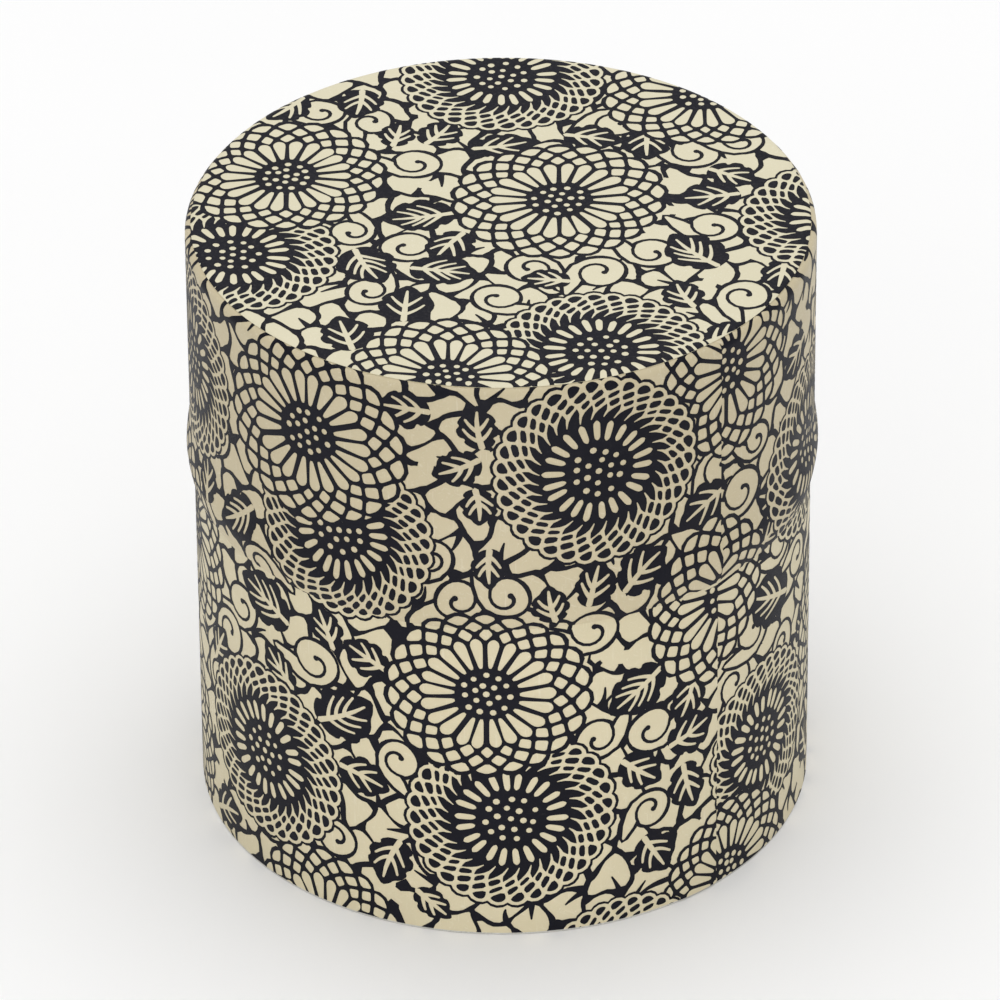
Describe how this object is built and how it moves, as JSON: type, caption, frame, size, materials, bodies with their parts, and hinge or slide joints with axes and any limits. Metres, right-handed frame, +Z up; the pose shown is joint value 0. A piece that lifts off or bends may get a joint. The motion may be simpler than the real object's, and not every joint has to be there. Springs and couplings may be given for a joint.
{
  "type": "tea caddy",
  "caption": "Round tinplate tea caddy covered in patterned paper, with a deep slip-over lid and a plug lid with a knob that closes the body's mouth.",
  "frame": {"origin": "centre of the base, on the surface that the caddy stands on", "axes": "+Z up along the caddy's axis, -Y towards the front, +X to the right as seen from the front"},
  "size_m": [0.0776, 0.0776, 0.08],
  "materials": {
    "patterned_paper": "cream washi with a dark blue printed pattern, soft sheen",
    "print_ink": "dark blue printing ink on paper, soft sheen",
    "tinplate": "rolled tinplate, semi-bright",
    "knob_plastic": "moulded, slightly worn gloss",
    "rivet_metal": "satin"
  },
  "bodies": {
    "body": {"body_wall": "tinplate", "body_bottom": "tinplate", "body_paper": "patterned_paper"},
    "inner_lid": {"inner_lid_pan": "tinplate", "inner_lid_knob": "knob_plastic", "knob_washer": "tinplate", "knob_rivet": "rivet_metal"},
    "outer_lid": {"outer_lid_shell": "tinplate", "lid_side_paper": "patterned_paper", "lid_top_paper": "patterned_paper"}
  },
  "joints": [
    {"name": "inner_lid_lift", "type": "slide", "parent": "body", "child": "inner_lid", "axis": [0, 0, 1], "range_m": [0, 0.025]},
    {"name": "outer_lid_lift", "type": "slide", "parent": "inner_lid", "child": "outer_lid", "axis": [0, 0, 1], "range_m": [0, 0.055]}
  ]
}
